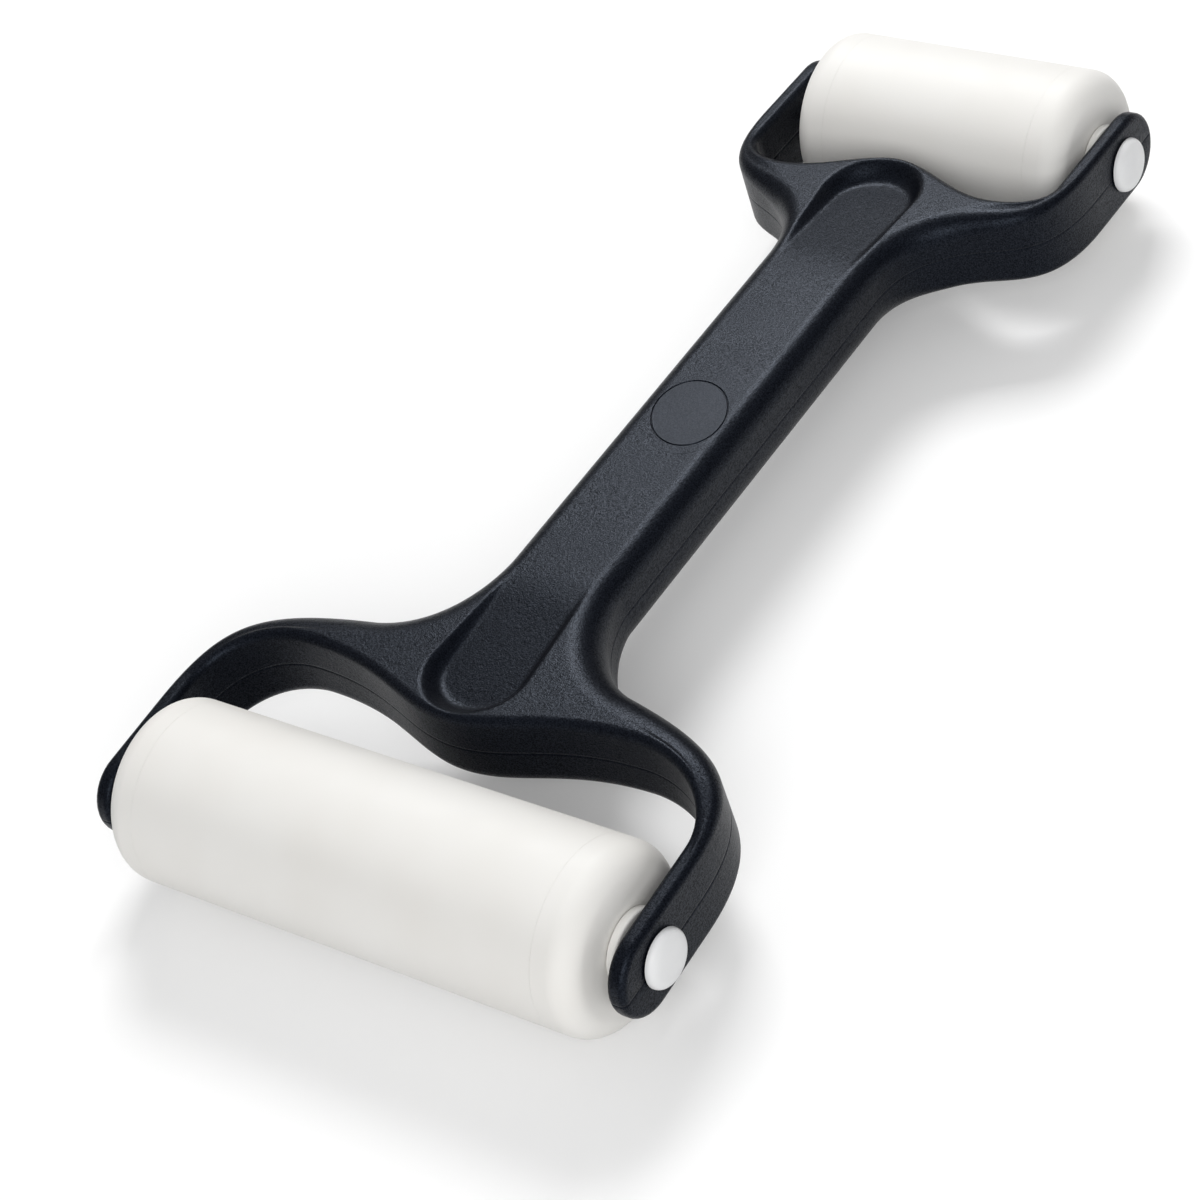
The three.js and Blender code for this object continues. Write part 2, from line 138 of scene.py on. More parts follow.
def outward(points, quads, triangles):
    """Turns all faces round where the closed shape is inside out."""
    if volume(points, as_triangles(quads, triangles)) < 0:
        quads = quads[:, ::-1]
        triangles = triangles[:, ::-1]
    return points, quads, triangles


# %% Points and faces into a mesh


def put_mesh(name, points, quads, triangles):
    """Writes points (in millimetres) and faces into a new object at the origin, smoothly shaded."""
    mesh = bpy.data.meshes.new(name)
    faces = [tuple(f) for f in quads.tolist()] + [tuple(f) for f in triangles.tolist()]
    mesh.from_pydata((points * MM).tolist(), [], faces)
    mesh.shade_smooth()
    mesh.update()
    piece = bpy.data.objects.new(name, mesh)
    bpy.context.scene.collection.objects.link(piece)
    print(name, "points:", len(mesh.vertices), "faces:", len(mesh.polygons))
    return piece


# %% [markdown]
# ## Sizes
# These are the sizes of the solids, so each surface lies where its solid does. Only the handle's
# upper edges are a little tighter here than in the solid. Heights are counted from the axles, which lie one
# roller radius above the table.

# %% Sizes of the tool
AXLE_SPACING = 219.0
ROLLER_RADIUS = 18.35
END_PLAY = 2.5
CLEARANCE = 0.3
BUSH_FLANGE = 1.9
ARM_GAP = BUSH_FLANGE + 2 * CLEARANCE + END_PLAY / 2
ARM_THICKNESS = 3.9
HALF_THICKNESS = 8.7
HALF_HANDLE = 12.9
HANDLE_EDGE = 6.5
HANDLE_TOP_EDGE = 4.5
HANDLE_LIFT = 3.9
HANDLE_SLOPE = 0.012
ARM_EDGE = 1.4
ARM_SLOPE = 0.045
ARM_TIP_OFFSET = 3.5
WALL_TOP_EDGE = 1.75
WALL_LOW_EDGE = 3.1
SHOULDER_LOW_EDGE = 2.2
EDGE_GROWTH = 1.5

WIDE = dict(
    name="wide", facing=1, roller_length=110.0, slide=0.4, arm_straight=12.5, lobe_gap=14.8, bulge_gap=6.9,
    corner_width=19.8, corner_depth=16.0, lobe_fullness=0.51, lobe_thickness=11.8, shoulder_inset=9.2,
    shoulder_slope=0.25, shoulder_edge=7.4, shoulder_fullness=0.82, arm_fullness=0.62, root_length=21.8,
    root_fullness_along=0.19,
)
NARROW = dict(
    name="narrow", facing=-1, roller_length=65.5, slide=0.95, arm_straight=13.1, lobe_gap=11.0, bulge_gap=3.7,
    corner_width=11.3, corner_depth=9.1, lobe_fullness=0.36, lobe_thickness=11.4, shoulder_inset=4.5,
    shoulder_slope=0.8, shoulder_edge=4.8, shoulder_fullness=0.58, arm_fullness=0.83, root_length=16.8,
    root_fullness_along=0.48,
)
CORNER_FULLNESS = 0.58
BULGE_FULLNESS = 0.31
ROOT_FULLNESS_ACROSS = 0.83
for end in (WIDE, NARROW):
    print(end["name"], "roller:", end["roller_length"], "x", 2 * ROLLER_RADIUS)

# %% [markdown]
# ## The frame's plan
# Seen from above, a yoke has an inner wall round the roller and an outer wall. Both are made of cubic
# curves that leave one point in a given direction and reach the next in another. The inner wall turns the
# corner from the arm into a lobe, and then waves forward to a bulge on the centre line. The outer wall
# sweeps over the shoulder and into the handle. Points could be drawn by hand in an editor, but a curve
# with a few named sizes stays smooth, and both yokes come from one function.

# %% Plan curves of a yoke


def curve(start, out, end, into, t):
    """Cubic Bezier from start along out to end along into: points and unit tangents at t."""
    start, out, end, into = (np.asarray(v, dtype=float) for v in (start, out, end, into))
    c, d = start + out, end - into
    t = np.asarray(t, dtype=float)[:, None]
    s = 1 - t
    point = s**3 * start + 3 * s * s * t * c + 3 * s * t * t * d + t**3 * end
    tangent = 3 * s * s * (c - start) + 6 * s * t * (d - c) + 3 * t * t * (end - d)
    return point, tangent / np.linalg.norm(tangent, axis=1, keepdims=True)


def yoke_plan(end):
    """The yoke's key points, and its four curves as functions of t, with the axle on the -Y side."""
    axle_y = -AXLE_SPACING / 2
    arm_inner = end["roller_length"] / 2 + ARM_GAP
    arm_outer = arm_inner + ARM_THICKNESS
    lobe = np.array([arm_inner - end["corner_width"], axle_y + ROLLER_RADIUS + end["lobe_gap"]])
    bulge = np.array([0.0, axle_y + ROLLER_RADIUS + end["bulge_gap"]])
    corner = np.array([arm_inner, lobe[1] - end["corner_depth"]])
    shoulder = lobe + np.array([-end["shoulder_inset"], end["lobe_thickness"]])
    outer_start = np.array([arm_outer, axle_y + end["arm_straight"]])
    root = np.array([HALF_HANDLE, shoulder[1] + end["root_length"]])
    along = np.array([-1.0, end["shoulder_slope"]])
    along = along / np.linalg.norm(along)
    turn, run = shoulder - outer_start, root - shoulder
    corner_out = (0, CORNER_FULLNESS * end["corner_depth"])
    corner_into = (-CORNER_FULLNESS * end["corner_width"], 0)
    wave_out = (-end["lobe_fullness"] * lobe[0], 0)
    wave_into = (-BULGE_FULLNESS * lobe[0], 0)
    shoulder_out = (0, end["arm_fullness"] * turn[1])
    shoulder_into = along * (-end["shoulder_fullness"] * turn[0])
    root_out = along * (-ROOT_FULLNESS_ACROSS * run[0])
    root_into = (0, end["root_fullness_along"] * run[1])
    return dict(
        axle_y=axle_y, arm_inner=arm_inner, arm_outer=arm_outer, corner=corner, bulge=bulge, root=root,
        outer_start=outer_start,
        inner_corner=lambda t: curve(corner, corner_out, lobe, corner_into, t),
        inner_wave=lambda t: curve(lobe, wave_out, bulge, wave_into, t),
        outer_shoulder=lambda t: curve(outer_start, shoulder_out, shoulder, shoulder_into, t),
        outer_root=lambda t: curve(shoulder, root_out, root, root_into, t),
    )


for end in (WIDE, NARROW):
    end["plan"] = yoke_plan(end)
    print(end["name"], "arm inside:", end["plan"]["arm_inner"], "bulge:", end["plan"]["bulge"].round(2))

# %% [markdown]
# ## Stations along the frame
# The right half of the frame is one long loft, from the wide yoke's arm tip to the narrow yoke's arm tip.
# A station joins a point of the inner wall to a point of the outer wall, with the rounding of its four
# edges there. Along the handle there is no inner wall: stations start on the centre line, and the mirrored
# half closes them. Stations stand close together round the thumb scoops and wide apart on plain stretches,
# because a fine grid everywhere would be heavy for nothing.

# %% Steps along the yoke


def smooth(t):
    """Smooth step 3t^2 - 2t^3."""
    return t * t * (3 - 2 * t)


def mix(a, b, t):
    """Straight blend from a to b; t may be an array with one row per station."""
    return np.asarray(a) + (np.asarray(b) - np.asarray(a)) * np.asarray(t)[..., None]


def steps(start, stop, count):
    """Even steps from start to stop, without the start itself."""
    return np.linspace(start, stop, count + 1)[1:]


ARM_EDGES = np.full(4, ARM_EDGE)
HANDLE_EDGES = np.array([0.0, 0.0, HANDLE_TOP_EDGE, HANDLE_EDGE])
TIP_ANGLES = np.radians(np.concatenate([[90, 88.9, 86.5], np.linspace(82, 0, 10)]))
ARM_STEPS = steps(0, 1, 10)
CORNER_STEPS = steps(0, 1, 36)
WAVE_FINE_FROM = 0.58
WAVE_STEPS = np.concatenate([steps(0, WAVE_FINE_FROM, 25), steps(WAVE_FINE_FROM, 1, 56)])
CENTRE_FINE_TO = 0.36
CENTRE_STEPS = np.concatenate([steps(0, CENTRE_FINE_TO, 48), steps(CENTRE_FINE_TO, 1, 26)])
ROOT_SHARE = 0.5
UP = np.array([0.0, 1.0])

# %% Rows of stations
INNER, INNER_TANGENT, OUTER, OUTER_TANGENT, EDGES, RISE, TIP, OPEN = 0, 2, 4, 6, 8, 12, 13, 14


def station_rows(inner, outer, edges, rise=0.0, tip=0.0, open_row=0.0):
    """One row per station: inner x y tx ty, outer x y tx ty, four edge radii, rise, tip angle, open."""
    count = len(inner[0])
    parts = [np.broadcast_to(p, (count, 2)) for p in (*inner, *outer)]
    parts.append(np.broadcast_to(edges, (count, 4)))
    parts += [np.broadcast_to(v, (count,))[:, None] for v in (rise, tip, open_row)]
    return np.hstack(parts)


def upright(x, y):
    """Points on a line along Y, with their tangents."""
    y = np.asarray(y, dtype=float)
    return np.stack([np.full_like(y, x), y], axis=1), UP


# %% Stations of the yokes and the handle
HANDLE_STATIONS = 54
HANDLE_CROWDING = 0.55


def yoke_stations(end):
    """Arm tip, arm, corner, wave along the inner wall, then along the centre line to the plain handle."""
    plan = end["plan"]
    tip_y = plan["axle_y"] - ARM_TIP_OFFSET
    wall = [WALL_TOP_EDGE, WALL_LOW_EDGE]
    shoulder_edges = np.array([*wall, end["shoulder_edge"], SHOULDER_LOW_EDGE])
    tips = np.full(len(TIP_ANGLES), tip_y)
    arm_inner_y = tip_y + (plan["corner"][1] - tip_y) * ARM_STEPS
    arm_outer_y = tip_y + (plan["outer_start"][1] - tip_y) * ARM_STEPS
    wave_edges = mix(shoulder_edges, HANDLE_EDGES, smooth(WAVE_STEPS * ROOT_SHARE))
    wave_edges[:, :2] = wall
    along = ROOT_SHARE + (1 - ROOT_SHARE) * CENTRE_STEPS
    centre_start = plan["bulge"][1] + WALL_TOP_EDGE
    centre_y = centre_start + (plan["root"][1] - centre_start) * CENTRE_STEPS
    centre_edges = mix(shoulder_edges, HANDLE_EDGES, smooth(along))
    centre_edges[:, :2] = 0
    grown = mix(ARM_EDGES, shoulder_edges, CORNER_STEPS**EDGE_GROWTH)
    return np.vstack([
        station_rows(
            upright(plan["arm_inner"], tips), upright(plan["arm_outer"], tips), ARM_EDGES, tip=TIP_ANGLES),
        station_rows(
            upright(plan["arm_inner"], arm_inner_y), upright(plan["arm_outer"], arm_outer_y), ARM_EDGES),
        station_rows(
            plan["inner_corner"](CORNER_STEPS), plan["outer_shoulder"](CORNER_STEPS), grown,
            rise=smooth(CORNER_STEPS)),
        station_rows(
            plan["inner_wave"](WAVE_STEPS), plan["outer_root"](WAVE_STEPS * ROOT_SHARE), wave_edges,
            rise=1.0),
        station_rows(upright(0, centre_y), plan["outer_root"](along), centre_edges, rise=1.0, open_row=1.0),
    ])


def handle_stations(start_y, end_y):
    """The plain handle between the two yokes, closest together at the oval in its middle.

    With t from -1 to 1 and a crowding c, y goes with (1 - c) t + c t^3.
    """
    t = np.linspace(-1, 1, HANDLE_STATIONS + 2)[1:-1]
    crowded = (1 - HANDLE_CROWDING) * t + HANDLE_CROWDING * t**3
    y = (start_y + end_y) / 2 + (end_y - start_y) / 2 * crowded
    return station_rows(upright(0, y), upright(HALF_HANDLE, y), HANDLE_EDGES, rise=1.0, open_row=1.0)


for end in (WIDE, NARROW):
    end["stations"] = yoke_stations(end)
    print(end["name"], "stations:", len(end["stations"]))

# %% [markdown]
# ## Sections of the frame
# A section is a rounded slab: up the inner wall, over its rounded edge, across the flat top, over the outer
# edge and down the outer wall. The lower half is the same with fewer points. Both halves meet at
# mid-thickness, where the two halves of the mould meet, and extra points stand there for the parting line.
# At the arm's tip the whole section is turned about the tip's axis, so the tip is round with the same edges.

# %% Columns of a section
LINE_HALF_WIDTH = 0.17
INNER_ARC = np.radians(np.linspace(0, 90, 7))
TOP_OUTER_ARC = np.radians(np.linspace(90, 0, 13))
LOW_OUTER_ARC = np.radians(np.linspace(90, 0, 7))
TOP_FLAT = np.linspace(0, 1, 44)[1:-1]
LOW_FLAT = np.linspace(0, 1, 10)[1:-1]
WALL_SHARES = np.array([0.0, 0.4, 0.8, 0.95])
WALL_HEIGHTS = np.array([0.0, LINE_HALF_WIDTH, 3 * LINE_HALF_WIDTH, np.inf])


def half_section(rows, inner_edge, outer_edge, flat, outer_arc):
    """Plan points and heights of all half sections, from mid inner wall to mid outer wall.

    A wall point keeps its plan. A point at angle a of an edge of radius r lies r(1 - cos a) into the
    material, at height H - r(1 - sin a). Flat points divide the line between the two edges' ends.
    """
    inner, inner_tangent, outer, outer_tangent = (
        rows[:, k:k + 2] for k in (INNER, INNER_TANGENT, OUTER, OUTER_TANGENT))
    into = np.stack([inner_tangent[:, 1], -inner_tangent[:, 0]], axis=1)
    back = np.stack([-outer_tangent[:, 1], outer_tangent[:, 0]], axis=1)

    def edge(wall, normal, radius, angles):
        """Plan points and heights round each station's edge."""
        reach = radius[:, None] * (1 - np.cos(angles))
        height = HALF_THICKNESS - radius[:, None] * (1 - np.sin(angles))
        return wall[:, None] + normal[:, None] * reach[..., None], height

    def upright_wall(wall, radius):
        """Points up the wall: first beside the parting line, then by shares of the free height."""
        free = (HALF_THICKNESS - radius)[:, None]
        height = np.minimum(WALL_HEIGHTS, WALL_SHARES * free)
        return np.repeat(wall[:, None], len(WALL_SHARES), axis=1), height

    inner_wall, inner_wall_height = upright_wall(inner, inner_edge)
    outer_wall, outer_wall_height = upright_wall(outer, outer_edge)
    inner_round, inner_height = edge(inner, into, inner_edge, INNER_ARC)
    outer_round, outer_height = edge(outer, back, outer_edge, outer_arc)
    top = mix(inner_round[:, -1:], outer_round[:, :1], np.broadcast_to(flat, (len(rows), len(flat))))
    top_height = np.full(top.shape[:2], HALF_THICKNESS)
    plan = np.concatenate([inner_wall, inner_round, top, outer_round, outer_wall[:, ::-1]], axis=1)
    height = np.hstack([
        inner_wall_height, inner_height, top_height, outer_height, outer_wall_height[:, ::-1]])
    return plan, height


def column_places(flat, outer_arc):
    """A running place from 0 to 5 along the half section, to pair upper columns with lower ones."""
    wall = WALL_SHARES
    quarter = np.pi / 2
    return np.concatenate([wall, 1 + INNER_ARC / quarter, 2 + flat, 4 - outer_arc / quarter, 5 - wall[::-1]])


TOP_PLACES = column_places(TOP_FLAT, TOP_OUTER_ARC)
LOW_PLACES = column_places(LOW_FLAT, LOW_OUTER_ARC)
LOW_PARTNER = np.abs(TOP_PLACES[:, None] - LOW_PLACES).argmin(axis=1)
print("columns above:", len(TOP_PLACES), "below:", len(LOW_PLACES))

# %% [markdown]
# ## Thumb scoops
# Where the handle opens into a yoke, its top is hollowed into a scoop for the thumb: round at the yoke's
# end, with a steep wall, and running out level into the handle. It could be cut with a Boolean, but a cut
# leaves a sharp rim. Here it is a height: floor plus wall, as a function of the distance from the scoop's
# outline. The frame's top takes the lower of its own height and the scoop's, blended so the rim is round.
# In the handle's middle the top also dips under an oval lid, which is made further below.

# %% Scoop heights
SCOOP_HALF_WIDTH = 11.2
SCOOP_DEPTH = 4.0
SCOOP_RUN = 33.6
SCOOP_COVE = 2.4
SCOOP_END_COVE = 2.8
SCOOP_RIDGE = 2.3
SCOOP_WALL_SLOPE = 2.0
SCOOP_WALL_FOOT = 1.9
SCOOP_RIM = 3.2
SCOOP_RIM_SHARE = 0.75
SCOOP_FADE = 0.6


def handle_level(y):
    """Height of the frame's middle above the axles along the handle, at the tool's own y."""
    return HANDLE_LIFT - HANDLE_SLOPE * y


def scoop_height(end, x, y):
    """Floor sloping up from the yoke, plus a wall that starts as a cove and goes on as a straight draft.

    Over a cove of width c the rise is slope d^3 / 3c^2, with d the distance from the cove's start, and
    beyond it slope (d - 2c/3), so floor, cove and wall join smoothly. The cove is widest at the round end.
    """
    away = y * end["facing"] - (end["plan"]["bulge"][1] + SCOOP_RIDGE)
    inside = SCOOP_HALF_WIDTH - np.hypot(x, np.minimum(away - SCOOP_HALF_WIDTH, 0))
    fall = SCOOP_DEPTH * (1 - away / SCOOP_RUN)
    floor = handle_level(y) + HALF_THICKNESS - fall
    cove = SCOOP_COVE + SCOOP_END_COVE * smooth(np.clip(1 - away / SCOOP_HALF_WIDTH, 0, 1))
    climb = np.maximum(SCOOP_WALL_FOOT + cove * 2 / 3 - inside, 0)
    rise = np.minimum(climb, cove) ** 3 / (3 * cove**2) + np.maximum(climb - cove, 0)
    return floor + SCOOP_WALL_SLOPE * rise, fall


def hollowed(x, y, z):
    """The lower of the frame's top and the scoops, blended where they differ by less than the rim."""
    for end in (WIDE, NARROW):
        scoop, fall = scoop_height(end, x, y)
        rim = np.clip(SCOOP_RIM_SHARE * fall, SCOOP_FADE, SCOOP_RIM)
        near = np.maximum(rim - np.abs(z - scoop), 0)
        z = np.minimum(z, scoop) - near**2 / (4 * rim)
    return z


print("scoop floor at its end:", SCOOP_DEPTH, "mm below the top")

# %% Dip under the oval's lid
OVAL_MIDDLE = np.array([0.3, 3.0])
OVAL_HALF_AXES = np.array([7.8, 9.7])
OVAL_TURN = 0.61
OVAL_DIP = 0.9
OVAL_DIP_REACH = 1.1


def on_oval(x, y):
    """Places along the oval's own two axes, which are turned against the handle."""
    x, y = x - OVAL_MIDDLE[0], y - OVAL_MIDDLE[1]
    c, s = np.cos(OVAL_TURN), np.sin(OVAL_TURN)
    return x * c + y * s, y * c - x * s


def oval_dip(x, y, z):
    """How far the top is lowered under the oval's lid: a ramp that starts well inside the lid's margin."""
    reach = OVAL_HALF_AXES + OVAL_DIP_REACH
    across, along = on_oval(x, y)
    inside = 1 - np.hypot(across / reach[0], along / reach[1])
    return OVAL_DIP * np.clip(inside * reach[0], 0, 1) * (z > handle_level(y))


print("oval's axes:", 2 * OVAL_HALF_AXES, "mm")

# %% [markdown]
# ## The frame as one moulding
# The two yokes and the handle are put in one row of stations and turned into a grid of points. The narrow
# yoke was drawn the same way round as the wide one, so its y is turned over. The half is mirrored, lowered
# under the oval and welded. Then the parting line is pressed in along the surface's own normals: a fine
# groove round the whole moulding where the two halves of the mould met.

# %% Sections in their places


def section_points(rows, facing):
    """All sections of a row of stations as a grid of x, y, z and distance from the parting surface.

    The upper half comes first, then the lower half back. At the very tip both halves share one line.
    """
    rise, tip = rows[:, RISE, None], rows[:, TIP, None]
    inner_top, inner_low, outer_top, outer_low = rows[:, EDGES:EDGES + 4].T

    def placed(plan, height, sign):
        """Half sections at their own level, turned about the tip's axis where they belong to the tip."""
        x, y = plan[..., 0], plan[..., 1]
        level = (1 - rise) * ARM_SLOPE * (y + AXLE_SPACING / 2) + rise * handle_level(facing * y)
        off = height * np.cos(tip)
        return np.stack([x, facing * (y - height * np.sin(tip)), level + sign * off, off], axis=-1)

    upper = placed(*half_section(rows, inner_top, outer_top, TOP_FLAT, TOP_OUTER_ARC), 1)
    lower = placed(*half_section(rows, inner_low, outer_low, LOW_FLAT, LOW_OUTER_ARC), -1)
    on_tip = rows[:, TIP] == TIP_ANGLES[0]
    upper[on_tip] = lower[on_tip][:, LOW_PARTNER]
    x, y, z = (upper[..., k] for k in range(3))
    upper[..., 2] = hollowed(x, y, z)
    return np.concatenate([upper, lower[:, -2:0:-1]], axis=1)


# %% Right half of the frame


def frame_half():
    """Points and cells of the right half. Cells on the centre plane are left to the mirrored half."""
    wide, narrow = WIDE["stations"], NARROW["stations"][::-1]
    middle = handle_stations(WIDE["plan"]["root"][1], -NARROW["plan"]["root"][1])
    grid = np.concatenate([section_points(wide, 1), section_points(middle, 1), section_points(narrow, -1)])
    open_row = np.concatenate([rows[:, OPEN] for rows in (wide, middle, narrow)]) > 0
    columns = grid.shape[1]
    cells = grid_quads(*grid.shape[:2], close_columns=True)
    first = np.arange(columns)
    wall_columns = len(WALL_SHARES) + len(INNER_ARC) - 1
    on_inner_wall = (first < wall_columns) | (first >= columns - wall_columns)
    skip = (open_row[:-1] | open_row[1:])[:, None] & on_inner_wall
    return grid.reshape(-1, 4), cells[~skip]


# %% Whole frame
LINE_DEPTH = 0.13


def frame_surface():
    """The welded frame with its mirrored half, and the parting line pressed in along the normals."""
    half, quads = frame_half()
    both = np.vstack([half, half * [-1, 1, 1, 1]])
    both[:, 2] -= oval_dip(*both[:, :3].T)
    cells = np.vstack([quads, (quads + len(half))[:, ::-1]])
    points, quads, triangles = outward(*weld(both, cells))
    place, off = points[:, :3], points[:, 3:]
    normal = vertex_normals(place, as_triangles(quads, triangles))
    groove = LINE_DEPTH * np.clip(1 - off / LINE_HALF_WIDTH, 0, 1)
    return place - normal * groove + [0, 0, ROLLER_RADIUS], quads, triangles


frame_moulding = put_mesh("frame_moulding", *frame_surface())

# %% [markdown]
# ## Turned pieces
# Rollers, caps, bushes and buttons are all round about an axle, so each is a profile of x and radius turned
# about X. A Screw modifier would do, but the turn is one line of numpy: y = r cos a, z = r sin a. The left
# pieces are the right ones with x turned over. Edges sharper than a limit keep a crisp line in the shading.

# %% Turn a profile about the axle
SHARP_ANGLE = np.radians(38)


def turned(name, profile, sides, place, side=1):
    """Turns the closed profile of (x, radius) points about X, and moves it to its place on the axle."""
    x, radius = np.asarray(profile, dtype=float).T
    angle = np.linspace(0, 2 * np.pi, sides, endpoint=False)
    ring = np.stack([np.zeros(sides), np.cos(angle), np.sin(angle)], axis=-1)
    grid = radius[:, None, None] * ring
    grid[..., 0] = x[:, None]
    grid = grid * [side, 1, 1] + np.asarray(place, dtype=float)
    cells = grid_quads(len(x), sides, close_rows=True, close_columns=True)
    surface = outward(*weld(grid.reshape(-1, 3), cells.reshape(-1, 4)))
    piece = put_mesh(name, *surface)
    piece.data.set_sharp_from_angle(angle=SHARP_ANGLE)
    return piece


def arc(centre, radius, start, stop, count):
    """Points (x, radius) round a centre, from one angle to another, in degrees from +X."""
    a = np.radians(np.linspace(start, stop, count))
    return np.stack([centre[0] + radius * np.cos(a), centre[1] + radius * np.sin(a)], axis=1)


# %% [markdown]
# ## Rollers
# A roller is a white tube with a cap pushed into each end. The cap carries the soft rounded edge, and it
# fits so closely that its joint with the tube hardly shows. Inside, it has a spigot and a hub on a bush.
# One closed roller would look much the same, but separate pieces give the fine line at the joint by
# themselves, and each can be taken off.

# %% Barrel tubes and end caps
BARREL_WALL = 3.0
CAP_RIM = 8.0
CAP_EDGE = 5.0
CAP_EDGE_POINTS = 19
CAP_WALL = 2.4
CAP_SPIGOT = 8.0
CAP_HUB_LENGTH = 14.0
AXLE_RADIUS = 3.0
BUSH_WALL = 2.4
BUSH_BORE = AXLE_RADIUS + CLEARANCE
BUSH_RADIUS = BUSH_BORE + BUSH_WALL
SEAM = 0.035
ROLLER_SIDES = 160


def barrel_profile(length):
    """A plain tube, square at both ends."""
    half = length / 2 - CAP_RIM - SEAM
    bore = ROLLER_RADIUS - BARREL_WALL
    return [[-half, bore], [half, bore], [half, ROLLER_RADIUS], [-half, ROLLER_RADIUS]]


def cap_profile():
    """End face, rounded edge, rim, then spigot, hollow and hub. The end face is at x = 0."""
    hub_bore = BUSH_RADIUS + CLEARANCE
    hub = hub_bore + CAP_WALL
    spigot = ROLLER_RADIUS - BARREL_WALL - CLEARANCE
    hollow = spigot - CAP_WALL
    depth = -CAP_RIM - CAP_SPIGOT
    return np.vstack([
        [[0, hub_bore]],
        arc((-CAP_EDGE, ROLLER_RADIUS - CAP_EDGE), CAP_EDGE, 0, 90, CAP_EDGE_POINTS),
        [[-CAP_RIM, ROLLER_RADIUS], [-CAP_RIM, spigot], [depth, spigot], [depth, hollow]],
        [[-CAP_WALL, hollow], [-CAP_WALL, hub], [-CAP_HUB_LENGTH, hub], [-CAP_HUB_LENGTH, hub_bore]],
    ])


def axle_place(end, x=0.0):
    """A place on the yoke's axle, x from the tool's middle."""
    return x, -end["facing"] * AXLE_SPACING / 2, ROLLER_RADIUS


def roller_place(end, side=0):
    """The roller's middle, or one of its ends; it has slid along the axle by a share of its end play."""
    return axle_place(end, end["slide"] * END_PLAY / 2 + side * end["roller_length"] / 2)


SIDES = (("left", -1), ("right", 1))
white_pieces = []
for end in (WIDE, NARROW):
    name = end["name"]
    tube_profile = barrel_profile(end["roller_length"])
    tube = turned(f"{name}_barrel_tube", tube_profile, ROLLER_SIDES, roller_place(end))
    white_pieces.append((tube, f"{name}_barrel", f"{name}_roller"))
    for word, side in SIDES:
        cap = turned(f"{name}_cap_{word}", cap_profile(), ROLLER_SIDES, roller_place(end, side), side)
        white_pieces.append((cap, f"{name}_end_cap_{word}", f"{name}_roller"))

# %% [markdown]
# ## Bushes and axle buttons
# A bush with a collar sits in each cap and turns with it; its collar shows as a white ring between roller
# and arm. The axle's ends are closed by buttons, thin domed discs with a hollow shank. A dome could be part
# of a sphere, but these are flat in the middle and fall off at the rim, which a superellipse gives.

# %% Bushes and buttons
BUSH_LENGTH = 12.0
COLLAR_RADIUS = 7.6
COLLAR_EDGE = 0.5
COLLAR_EDGE_POINTS = 6
BUTTON_RADIUS = 5.75
BUTTON_HEIGHT = 2.0
BUTTON_FLATNESS = 5.0
BUTTON_CROWN = 2.2
BUTTON_POINTS = 33
SHANK_RADIUS = 4.4
PIN_SIDES = 96


def bush_profile():
    """A sleeve in the hub with a round-edged collar outside the roller's end face."""
    outside, rim = CLEARANCE + BUSH_FLANGE, COLLAR_RADIUS - COLLAR_EDGE
    return np.vstack([
        [[outside, BUSH_BORE]],
        arc((outside - COLLAR_EDGE, rim), COLLAR_EDGE, 0, 90, COLLAR_EDGE_POINTS),
        arc((CLEARANCE + COLLAR_EDGE, rim), COLLAR_EDGE, 90, 180, COLLAR_EDGE_POINTS),
        [[CLEARANCE, BUSH_RADIUS], [-BUSH_LENGTH, BUSH_RADIUS], [-BUSH_LENGTH, BUSH_BORE]],
    ])


def button_profile():
    """Superellipse dome r = R sin(a)^(2/n), x = h cos(a)^(2/m), then the shank that holds the axle's end."""
    a = np.linspace(0, np.pi / 2, BUTTON_POINTS)
    radius = BUTTON_RADIUS * np.sin(a) ** (2 / BUTTON_FLATNESS)
    height = CLEARANCE + BUTTON_HEIGHT * np.maximum(np.cos(a), 0) ** (2 / BUTTON_CROWN)
    return np.vstack([
        np.stack([height, radius], axis=1),
        [[CLEARANCE, SHANK_RADIUS], [-ARM_THICKNESS, SHANK_RADIUS], [-ARM_THICKNESS, BUSH_BORE]],
        [[2 * CLEARANCE, BUSH_BORE], [2 * CLEARANCE, 0]],
    ])


button_pieces = []
for end in (WIDE, NARROW):
    name = end["name"]
    for word, side in SIDES:
        bush = turned(f"{name}_collar_{word}", bush_profile(), PIN_SIDES, roller_place(end, side), side)
        white_pieces.append((bush, f"{name}_bush_{word}", f"{name}_roller"))
        button_place = axle_place(end, side * end["plan"]["arm_outer"])
        button = turned(f"{name}_button_{word}", button_profile(), PIN_SIDES, button_place, side)
        button_pieces.append((button, f"{name}_axle_button_{word}", "frame"))

# %% [markdown]
# ## The oval on the handle
# In the middle of the handle's top lies a plain smooth oval, slanted and set off by a fine groove, left by a
# separate insert in the mould. A groove this fine would need a very dense frame, so the oval is a thin lid
# of its own with a grid that runs round it, and the frame's top dips a little underneath. The lid goes on
# outside the groove with the frame's own grain, so its edge can't be seen.

# %% Oval lid
OVAL_GROOVE_DEPTH = 0.22
OVAL_GROOVE_HALF_WIDTH = 0.2
OVAL_PROUD = 0.03
OVAL_LID = 0.55
OVAL_MARGIN = 2.4
OVAL_FIELD_RINGS = 15
OVAL_GROOVE_RINGS = 9
OVAL_MARGIN_RINGS = 4
OVAL_SIDES = 128


def top_surface(x, y):
    """Height of the plain handle's top: flat, with the outer edge's round beyond it."""
    edge = HANDLE_TOP_EDGE
    over = np.clip(np.abs(x) - (HALF_HANDLE - edge), 0, edge)
    drop = edge - np.sqrt(edge**2 - over**2)
    return handle_level(y) + HALF_THICKNESS - drop


